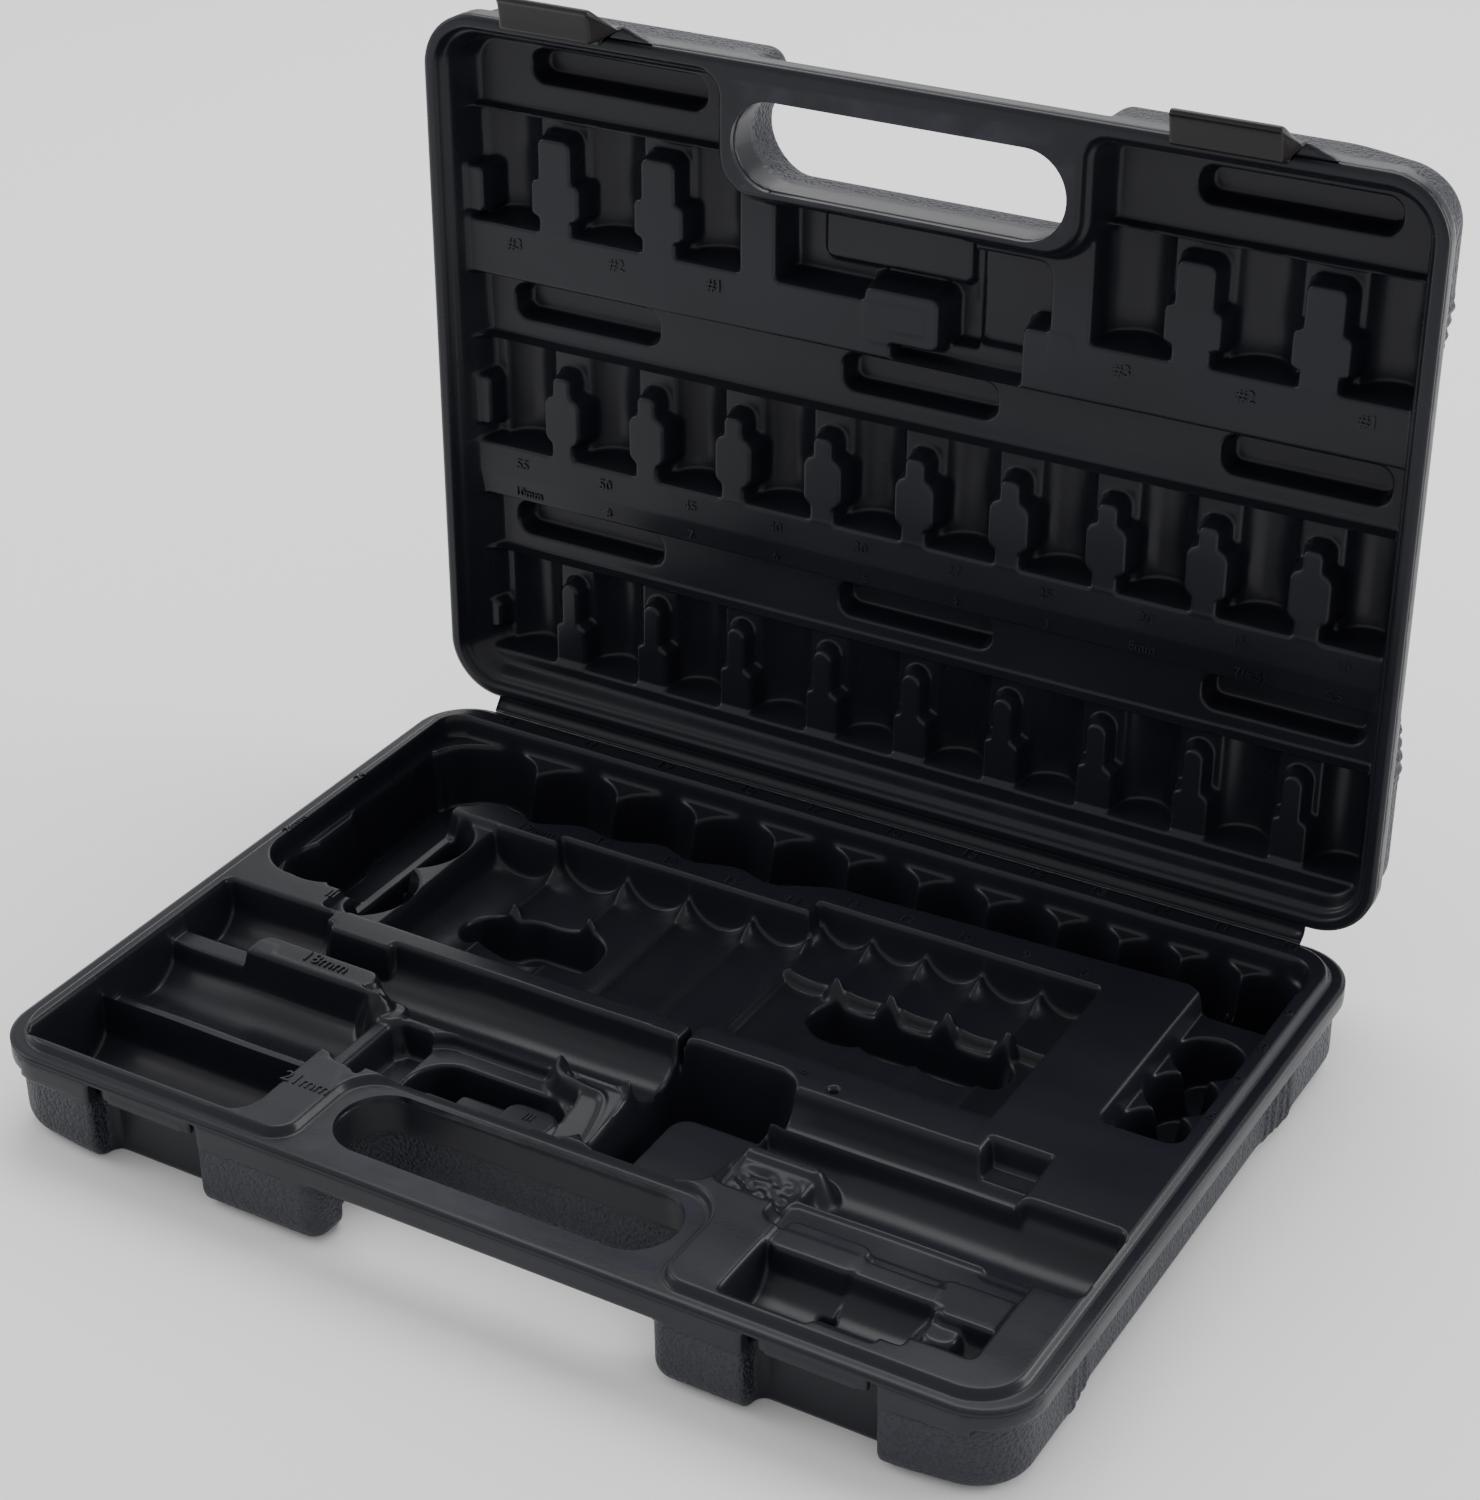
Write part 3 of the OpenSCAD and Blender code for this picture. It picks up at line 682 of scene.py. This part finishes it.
def surface_net(distance, lo, hi, h):
    """Quads round the zero of a 3D distance, a point in each cell that it crosses."""
    n = [int(math.ceil((b - a) / h)) + 1 for a, b in zip(lo, hi)]
    g = [lo[i] + h * np.arange(n[i]) for i in range(3)]
    x, y, z = np.meshgrid(*g, indexing="ij")
    d = distance(x, y, z).astype(np.float32)
    inside = d < 0
    total = np.zeros([k - 1 for k in n] + [3], np.float32)
    hits = np.zeros([k - 1 for k in n], np.int32)

    def corner(a, i, j, k):
        return a[i:n[0] - 1 + i, j:n[1] - 1 + j, k:n[2] - 1 + k]

    for axis in range(3):
        others = [q for q in range(3) if q != axis]
        for s in (0, 1):
            for t in (0, 1):
                o1 = [0, 0, 0]
                o1[others[0]], o1[others[1]] = s, t
                o2 = list(o1)
                o2[axis] = 1
                d1, d2 = corner(d, *o1), corner(d, *o2)
                crossing = corner(inside, *o1) != corner(inside, *o2)
                w = np.where(crossing, d1 / np.where(crossing, d1 - d2, 1), 0)
                for q in range(3):
                    total[..., q] += np.where(crossing, o1[q] + (w if q == axis else 0), 0)
                hits += crossing
    active = hits > 0
    ids = np.full(active.shape, -1, np.int64)
    ids[active] = np.arange(active.sum())
    cell = np.argwhere(active)
    v = (cell + total[active] / hits[active][:, None]) * h + np.array(lo)
    faces = []
    for axis in range(3):
        others = [q for q in range(3) if q != axis]
        sl1 = [slice(1, n[q] - 1) for q in range(3)]
        sl2 = list(sl1)
        sl1[axis], sl2[axis] = slice(0, n[axis] - 1), slice(1, n[axis])
        a, b = inside[tuple(sl1)], inside[tuple(sl2)]
        where = np.argwhere(a != b)
        flip = a[tuple(where.T)]
        base = where.copy()
        for q in others:
            base[:, q] += 1
        quad = []
        for s, t in ((0, 0), (1, 0), (1, 1), (0, 1)):
            c = base.copy()
            c[:, others[0]] -= s
            c[:, others[1]] -= t
            quad.append(ids[tuple(c.T)])
        quad = np.stack(quad, 1)
        if axis == 1:
            flip = ~flip
        quad[~flip] = quad[~flip][:, ::-1]
        faces.append(quad)
    # the points move onto the surface along its gradient
    reach = 0.05
    for _ in range(2):
        g = np.stack([distance(*(v + q).T) - distance(*(v - q).T) for q in np.eye(3) * reach], 1) / (2 * reach)
        length = np.maximum((g * g).sum(1), 0.3)
        v = v - g * np.clip(distance(*v.T) / length, -h / 2, h / 2)[:, None]
    return v, np.vstack(faces)


def flanks(x, y):
    """How far the side walls stand back from the rim: a step with two groups of ribs."""
    inset = 3.0 + 1.6 * step(-95, -78, y) * step(80, 63, y)
    for y0, y1 in ((-95, -75), (60, 85)):
        inside = step(y0, y0 + 2, y) * step(y1, y1 - 2, y)
        inset = inset - inside * (0.5 + 0.5 * np.cos((y - y0) * 2 * math.pi / 5))
    return inset * step(150, 184, np.abs(x))


def skin(x, y, z, h):
    """The outer form of a half, below its rim at z = 0."""
    side = flanks(x, y)
    band = np.where(np.abs(x) > 180, 8.0, 10.5)
    body = rmax(outline(x, y) + side + 0.25, -(z + h), 8)
    top = rmax(outline(x, y), -(z + band), 1.0)
    body = rmin(body, top, 1.0)
    hollow = box(x, y, -56, -170, 70, -93.5, 10)
    hollow = np.maximum(hollow, z + 14)
    body = rmax(body, -hollow, 7)
    return np.maximum(rmax(body, -grip_hole(x, y), 1.0), z)


def bays(x, y, z):
    """The recesses for the latches in the base's front, with a ledge across the top of each."""
    recess, ledge = np.full_like(x, 99.0), np.full_like(x, 99.0)
    for s in (-1, 1):
        c = s * BAY_X
        recess = np.minimum(recess, box(x, y, c - 23, -160, c + 23, -127.5, 4))
        ledge = np.minimum(ledge, box(x, y, c - 19, -136.5, c + 19, -120, 0.8))
        ledge = np.minimum(ledge, box(x, y, c - 16, -136.9, c + 16, -120, 0.5) + np.maximum(z + 6, 0))
    recess = np.maximum(recess, z + 2.6)
    return recess, np.maximum(rmax(ledge, -(z + 9), 0.8), z + 2)


def base_solid(x, y, z, h=BASE_H):
    recess, ledge = bays(x, y, z)
    return np.minimum(rmax(skin(x, y, z, h), -recess, 1.2), ledge)


def lid_solid(x, y, z, h=LID_H):
    """The lid's skin, with a wedge under each latch that runs out to one side."""
    d = skin(x, y, z, h)
    for s in (-1, 1):
        c = s * LATCH_X
        rise = 4.8 * step(c - 23, c - 20.5, x) * (1 - np.clip((x - c - 20.5) / 13, 0, 1) ** 0.8)
        lean = (-HALF_D - rise - y) + 0.5 * np.maximum(-z - 1.2, 0)
        wedge = np.maximum(np.maximum(lean / 1.1, y + 134), np.maximum(z + 0.2, -z - 9.5))
        wedge = np.maximum(wedge, np.abs(x - c - 5) - 28.5)
        d = np.minimum(d, wedge)
    return d


def hollowed(solid, h):
    """An outer skin, open at the top so that the tray fits in."""
    def d(x, y, z):
        room = solid(x, y, z, h + 1.2) + SKIN
        # the mouth is wider than the room below, to clear the tray's walls
        mouth = np.maximum(np.maximum(outline(x, y) + 4.6, 2.6 - grip_hole(x, y)), -z - 9)
        room = np.minimum(room, mouth)
        room = np.maximum(room, -(z + h - SKIN_FLOOR))
        # the skin ends under the flange, apart from the wedges that stand proud of the rim
        cover = z - SKIN_TOP - 1.6 * step(0.1, 0.8, outline(x, y))
        return np.maximum(np.maximum(solid(x, y, z), -room), cover)
    return d


# ---- materials ----

def plastic(name, colour, rough, grain):
    """Moulded polyethylene: slightly cloudy, with faint flow streaks, and grained where asked."""
    m = bpy.data.materials.new(name)
    m.use_nodes = True
    n, l = m.node_tree.nodes, m.node_tree.links
    b = n["Principled BSDF"]
    b.inputs["IOR"].default_value = 1.5
    b.inputs["Specular IOR Level"].default_value = 0.26
    place = n.new("ShaderNodeTexCoord").outputs["Object"]

    def noise(scale, detail, stretch=None):
        t = n.new("ShaderNodeTexNoise")
        t.inputs["Scale"].default_value = scale
        t.inputs["Detail"].default_value = detail
        if stretch:
            turn = n.new("ShaderNodeMapping")
            turn.inputs["Scale"].default_value = stretch
            l.new(place, turn.inputs["Vector"])
            l.new(turn.outputs["Vector"], t.inputs["Vector"])
        else:
            l.new(place, t.inputs["Vector"])
        return t.outputs["Fac"]

    def spread(value, low, high, lo=0.3, hi=0.7):
        r = n.new("ShaderNodeMapRange")
        for key, number in (("From Min", lo), ("From Max", hi), ("To Min", low), ("To Max", high)):
            r.inputs[key].default_value = number
        l.new(value, r.inputs["Value"])
        return r.outputs["Result"]

    def maths(kind, a, c):
        t = n.new("ShaderNodeMath")
        t.operation = kind
        for k, value in enumerate((a, c)):
            if isinstance(value, float):
                t.inputs[k].default_value = value
            else:
                l.new(value, t.inputs[k])
        return t.outputs[0]

    def times(k, more=0.0):
        return (*[c * k + more for c in colour], 1)

    def mixed(a, b, factor):
        """A colour from a, a colour or a socket, to the colour b."""
        t = n.new("ShaderNodeMix")
        t.data_type = "RGBA"
        if isinstance(a, tuple):
            t.inputs["A"].default_value = a
        else:
            l.new(a, t.inputs["A"])
        t.inputs["B"].default_value = b
        l.new(factor, t.inputs["Factor"])
        return t.outputs["Result"]

    def bump(height, strength, distance):
        t = n.new("ShaderNodeBump")
        t.inputs["Strength"].default_value = strength
        t.inputs["Distance"].default_value = distance
        l.new(height, t.inputs["Height"])
        return t

    paint = mixed(times(0.82), times(1.2), spread(noise(11, 5), 0.0, 1.0))

    # worn edges and corners are a little paler and smoother
    worn = n.new("ShaderNodeNewGeometry").outputs["Pointiness"]
    worn = maths("MULTIPLY", spread(worn, 0.0, 1.0, 0.56, 0.66), spread(noise(90, 4), 0.15, 1.0, 0.4, 0.62))
    paint = mixed(paint, times(2.0, 0.002), worn)

    # flow streaks in the gloss, and a fine ripple
    streak = noise(26, 4, (0.25, 1.6, 1.0))
    shine = maths("ADD", spread(streak, rough - 0.05, rough + 0.06), maths("MULTIPLY", worn, -0.07))
    relief = bump(maths("ADD", noise(700, 2), maths("MULTIPLY", streak, 1.5)), 0.35, 0.00006)

    if grain:
        # pebbled, paler and less glossy where the mesh's grain value is 1
        mask = n.new("ShaderNodeAttribute")
        mask.attribute_name = "grain"
        mask = mask.outputs["Fac"]
        cells = n.new("ShaderNodeTexVoronoi")
        cells.feature = "SMOOTH_F1"
        cells.inputs["Scale"].default_value = 740
        cells.inputs["Smoothness"].default_value = 0.5
        cells.inputs["Randomness"].default_value = 1.0
        l.new(place, cells.inputs["Vector"])
        pebbles = maths("ADD", cells.outputs["Distance"], maths("MULTIPLY", noise(900, 3), 0.5))
        ripple = relief
        relief = bump(maths("MULTIPLY", pebbles, mask), 1.0, 0.0010)
        relief.invert = True
        l.new(ripple.outputs["Normal"], relief.inputs["Normal"])
        shine = maths("ADD", shine, maths("MULTIPLY", mask, 0.10))
        paint = mixed(paint, times(2.3), maths("MULTIPLY", mask, 0.7))

    l.new(paint, b.inputs["Base Color"])
    l.new(shine, b.inputs["Roughness"])
    l.new(relief.outputs["Normal"], b.inputs["Normal"])
    return m


tray_plastic = plastic("tray_plastic", (0.0098, 0.0103, 0.0150), 0.28, False)
shell_plastic = plastic("shell_plastic", (0.0150, 0.0156, 0.0205), 0.33, True)
latch_plastic = plastic("latch_plastic", (0.0140, 0.0120, 0.0125), 0.28, False)


# ---- the pieces ----

def plan_edge(x, y):
    """A tray's border: the rim's outline less the opening behind the grip."""
    return rmax(outline(x, y), -grip_hole(x, y), 0.01)


def lid_edge(u, v):
    return plan_edge(u, HALF_D - v)


def underside(z, x, y, reach):
    """A wall's thickness below the top, and down to a flat flange within reach of the edge."""
    z = z - WALL
    near = np.maximum(outline(x, y), -grip_hole(x, y))
    return np.where(near > -reach, np.minimum(z, FLANGE_UNDER), z)


def under_base(x, y):
    return underside(base_height(x, y), x, y, 6)


def under_lid(u, v):
    return underside(lid_height(u, v), u, HALF_D - v, 5)


def tray_piece(name, y0, y1, edge, height, under, lowest_z, place, body, node):
    """A tray in its place. lowest_z keeps it off the floor of the outer skin."""
    v, f = tray(-HALF_W, HALF_W, y0, y1, edge, height, under)
    v[:, 2] = np.maximum(v[:, 2], lowest_z)
    decimate(make(name, place(v), f, body, tray_plastic, [node]))


tray_piece("base_tray_moulding", -HALF_D, HALF_D, plan_edge, base_height, under_base, -33.2, base_point,
           "base", "base_tray")
tray_piece("lid_tray_moulding", 0, 2 * HALF_D, lid_edge, lid_height, under_lid, -27.8, lid_point,
           "lid", "lid_tray")


def shell(name, solid, h, place, unplace, body, node, flip):
    """An outer skin. flip is for the lid, whose plan runs the other way and whose wedges stand proud."""
    v, f = surface_net(hollowed(solid, h), (-198, -144.5, -h - 3), (198, 141.5, 1), SHELL_CELL)
    front = WEDGE_Y if flip else -HALF_D
    v[:, 1] = np.maximum(v[:, 1], front)
    if flip:
        v = np.stack([v[:, 0], HALF_D - v[:, 1], v[:, 2]], 1)
        f = f[:, ::-1]
    o = make(name, place(v), f, body, shell_plastic, [node])
    decimate(o)
    # the grain starts below a smooth band, and stays out of the latch recesses
    n = len(o.data.vertices)
    p = np.empty(n * 3, np.float32)
    o.data.vertices.foreach_get("co", p)
    x, y, z = unplace(p.reshape(n, 3).astype(float)).T
    start = np.where(np.abs(x) > 180, 7.0, 10.0)
    start = np.where((y > -125) & (np.abs(x) < 66) & (y < -90), 14.5, start)
    start = np.where((y < -125) & (np.abs(x) < 70), 13.0, start)
    grain = step(start, start + 2.5, -z)
    if not flip:
        recess = np.abs(np.abs(x) - BAY_X) - 22.2
        grain = grain * np.where(y < -126.5, step(0, 1.2, recess), 1)
    a = o.data.attributes.new("grain", "FLOAT", "POINT")
    a.data.foreach_set("value", grain.astype(np.float32))


shell("base_outer_shell", base_solid, BASE_H, base_point, base_plan, "base", "base_shell", False)
shell("lid_outer_shell", lid_solid, LID_H, lid_point, lid_back, "lid", "lid_shell", True)


# ---- the strip hinge: one thin web that bends between the two rims ----

def bar_faces(n, stations):
    """The faces of a closed bar: a ring of n points at each station, with flat ends."""
    f = []
    for i in range(stations - 1):
        for k in range(n):
            a, b = i * n + k, i * n + (k + 1) % n
            f += [(a, b, b + n), (a, b + n, a + n)]
    for start, turn in ((0, 1), ((stations - 1) * n, -1)):
        f += [(start, start + k + 1, start + k)[::turn] for k in range(1, n - 1)]
    return np.array(f)


def film(name, web, thick, xs, place, start, end, material, nodes=()):
    """A thin web in a fixed, bent shape, from one body's rim to another's.

    web is its middle line across the bend, thick half its thickness at each point of the web, and xs
    its stations along the fold. start and end, points near the middle line, are not used.
    """
    web, thick = np.array(web), np.array(thick)[:, None]
    along = np.gradient(web, axis=0)
    across = np.stack([-along[:, 1], along[:, 0]], 1) / np.linalg.norm(along, axis=1)[:, None]
    ring = np.vstack([web + across * thick, (web - across * thick)[::-1]])
    v = np.array([(x, *q) for x in xs for q in ring])
    o = mesh_object(name, place(v), bar_faces(len(ring), len(xs)), material)
    ends = [Vector(place(np.array([[xs[0], *q]]))[0]) for q in (start, end)]
    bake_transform(o)
    if nodes:
        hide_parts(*nodes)


def about_fold(p):
    """From millimetres about the fold line to the row frame."""
    return (p + [0, HALF_D + FOLD_Y, BASE_H + FOLD_Z]) * MM


# (y, z) about the fold line while the lid stands open, from the base's rim round to the lid's rim
film("hinge_strip",
     [(-3.5, -1.9), (-2.6, -1.55), (-1.7, -1.1), (-0.8, -0.5), (-0.15, 0.15), (0.2, 0.85), (0.45, 1.7),
      (0.6, 2.6), (0.75, 3.5)],
     [0.55, 0.42, 0.38, 0.34, 0.3, 0.34, 0.38, 0.42, 0.5], np.linspace(-173, 171, 87), about_fold,
     (-1.2, -0.8), (0.4, 1.4), tray_plastic,
     ("hinge_film_base", "hinge_film_lid"))


# ---- latches: wedges on a thin film, with a hook on the inner face ----

def rounded_ring(points):
    """Cuts the corners of a ring of points, again and again, until it is round."""
    q = np.array(points, float)
    for _ in range(3):
        nxt = np.roll(q, -1, 0)
        q = np.stack([q * 0.8 + nxt * 0.2, q * 0.2 + nxt * 0.8], 1).reshape(-1, 2)
    return q


FREE, FILM_Z = 281.5, 2.0  # the film of a latch: v and z in the lid's frame
# the section of a latch, from its film to its free end and back along the hook
section = rounded_ring([(-0.4, 0.3), (0.5, 0.3), (0.75, 1.6), (2.2, 3.6), (5.2, 8.4), (8.6, 13.8),
                        (11.5, 18.4), (12.1, 19.9), (11.6, 21.1), (10.4, 21.2), (9.6, 20.6), (4.5, 19.7),
                        (1.6, 19.5), (0.4, 19.4), (-0.4, 18.6), (-0.45, 13.7), (-2.3, 13.1), (-2.4, 11.8),
                        (-0.45, 10.7), (-0.42, 5)])
# (place along x, scale of the section): the ends taper a little
half = LATCH_W / 2
ends = [(-half, 0.90), (-half + 0.25, 0.955), (-half + 0.8, 0.99), (-half + 1.6, 1.0)]
stations = ends + [(t, 1.0) for t in np.linspace(-half + 4, half - 4, 9)] + [(-t, k) for t, k in ends[::-1]]
middle = section.mean(0)
for x, node in ((-LATCH_X, "latch_left"), (LATCH_X, "latch_right")):
    rings = []
    for t, k in stations:
        q = middle + (section - middle) * k
        rings.append(np.stack([np.full(len(q), x + t), FREE + q[:, 0], FILM_Z + q[:, 1]], 1))
    f = bar_faces(len(section), len(stations))
    make(node + "_moulding", lid_point(np.vstack(rings)), f, node, latch_plastic, [node])
    film(node + "_film", [(FREE, z) for z in (-2.4, -1, 0.2, 1, 1.5, 2, 2.5, 3.2)],
         [0.42, 0.4, 0.36, 0.3, 0.26, 0.26, 0.32, 0.4], x + np.linspace(-half + 0.5, half - 0.5, 15),
         lid_point, (FREE, 1.2), (FREE, 2.8), latch_plastic)


# ---- sizes moulded on the decks, in generic digits ----

def lettering(name, words, place, body):
    """One mesh of raised digits. Each word is (text, x, y, deck's height, size, turn in degrees)."""
    vs, fs, n = [], [], 0
    for text, x, y, deck, size, turn in words:
        c = bpy.data.curves.new("text", "FONT")
        c.body = text
        c.size = size * 1.38  # size is the height of a digit
        c.extrude = 0.45
        c.resolution_u = 2
        c.align_x, c.align_y = "CENTER", "CENTER"
        o = placed(bpy.data.objects.new("text", c))
        bpy.context.view_layer.update()
        m = bpy.data.meshes.new_from_object(o.evaluated_get(bpy.context.evaluated_depsgraph_get()))
        m.calc_loop_triangles()
        q = np.array([p.co[:] for p in m.vertices])
        t = math.radians(turn)
        q = np.stack([x + q[:, 0] * math.cos(t) - q[:, 1] * math.sin(t),
                      y + q[:, 0] * math.sin(t) + q[:, 1] * math.cos(t), deck + 0.05 + q[:, 2]], 1)
        vs.append(q)
        fs.append(np.array([tri.vertices[:] for tri in m.loop_triangles]) + n)
        n += len(q)
        bpy.data.objects.remove(o)
        bpy.data.curves.remove(c)
        bpy.data.meshes.remove(m)
    o = make(name, place(np.vstack(vs)), np.vstack(fs), body, tray_plastic)
    o.data.shade_flat()


back_sizes = zip((22, 21, 19, 18, 17, 16, 15, 14, 13, 12, 11, 10),
                 (-161.2, -122.3, -87.7, -50.4, -21.3, 12.6, 44.6, 71.5, 96.7, 120.7, 144.5, 169.8))
words = [(str(a), x, 129.7, DECK, 5.2, 0) for a, x in back_sizes]
words += [(a, x, y, DECK, 4.6, 0) for a, x, y in
          (("19mm", -104, 64.5), ("17", -78.3, 70.5), ("16", -49.4, 71), ("15", -22.5, 70), ("14", 3.3, 70),
           ("13", 22.7, 79), ("12", 45.1, 79), ("10", 68.5, 79), ("9", 92.4, 79), ("8", 114.8, 79))]
words += [("26mm", -185.9, 24, DECK, 3.6, 90), ("24", -185.9, 65, DECK, 3.6, 90)]
words += [(a, 185.6, y, DECK, 4.4, 0) for a, y in (("9", 90.8), ("8", 68), ("7", 46), ("6", 24))]
words += [("18mm", -119, -46, DECK, 5.6, 0), ("21mm", -81, -107, DECK, 5.6, 0),
          ("III", -144, -9, DECK, 4.6, 0), ("III", -14, -76, -6.4, 4, 0), ("=", 59, -20.5, DECK, 3.6, 0)]
lettering("base_sizes", words, base_point, "base")

words = [(a, u, 99.5, LID_DECK, 4.3, 0) for a, u in
         zip("55 50 45 40 30 27 25 20 15 10".split(), (-164, -126, -88, -51, -15, 23.5, 60, 99, 134, 172))]
words += [(a, u, 87.6, LID_DECK - 0.5, 3.7, 0) for a, u in
          zip("10mm 8 7 6 5 4 3 8mm 7(6.5) 5.5".split(), (-162, -125, -88, -51, -13, 24, 61, 98, 139, 170))]
words += [(a, u, 189.4, LID_DECK, 4.6, 0) for a, u in
          zip("#3 #2 #1 #3 #2 #1".split(), (-164, -119, -77, 84, 129, 172))]
lettering("lid_sizes", words, lid_point, "lid")

# ---- camera, light and floor ----

camera = bpy.data.cameras.new("camera")
camera.lens = 75.37
camera.sensor_width = 36
camera.clip_end = 20
cam = placed(bpy.data.objects.new("camera", camera))
bpy.context.scene.camera = cam
# the place, aim and roll were fitted to the rims in the photo
EYE = Vector((0.4763, -0.7610, 0.6499))
AIM = Vector((0.0151, 0.0143, 0.1323))
cam.matrix_world = (Matrix.Translation(EYE) @ (AIM - EYE).to_track_quat("-Z", "Y").to_matrix().to_4x4()
                    @ Matrix.Rotation(math.radians(-0.64), 4, "Z"))

mesh = bpy.data.meshes.new("floor")
mesh.from_pydata([(-6, -6, 0), (6, -6, 0), (6, 6, 0), (-6, 6, 0)], [], [(0, 1, 2, 3)])
floor = placed(bpy.data.objects.new("floor", mesh))
paper = bpy.data.materials.new("floor_paper")
paper.use_nodes = True
surface = paper.node_tree.nodes["Principled BSDF"]
surface.inputs["Base Color"].default_value = (0.95, 0.95, 0.95, 1)
surface.inputs["Roughness"].default_value = 0.9
mesh.materials.append(paper)

world = bpy.data.worlds.new("studio")
bpy.context.scene.world = world
world.use_nodes = True
sky = world.node_tree.nodes["Background"]
sky.inputs["Color"].default_value = (1, 1, 1, 1)
sky.inputs["Strength"].default_value = 0.80


def softbox(name, place, aim, size, power):
    lamp = bpy.data.lights.new(name, "AREA")
    lamp.shape = "RECTANGLE"
    lamp.size, lamp.size_y = size
    lamp.energy = power
    o = placed(bpy.data.objects.new(name, lamp))
    place, aim = Vector(place), Vector(aim)
    o.matrix_world = Matrix.Translation(place) @ (aim - place).to_track_quat("-Z", "Y").to_matrix().to_4x4()


softbox("overhead", (-0.2, 0.9, 1.9), (0, 0, 0.1), (2.0, 1.2), 26)
softbox("behind", (-0.5, 1.9, 1.1), (0, 0.2, 0.3), (1.8, 0.5), 7)
softbox("left_side", (-1.7, -0.5, 1.1), (0, 0, 0.1), (1.0, 1.2), 9)
softbox("right_side", (1.7, 1.0, 0.7), (0, 0, 0.1), (1.0, 1.2), 20)
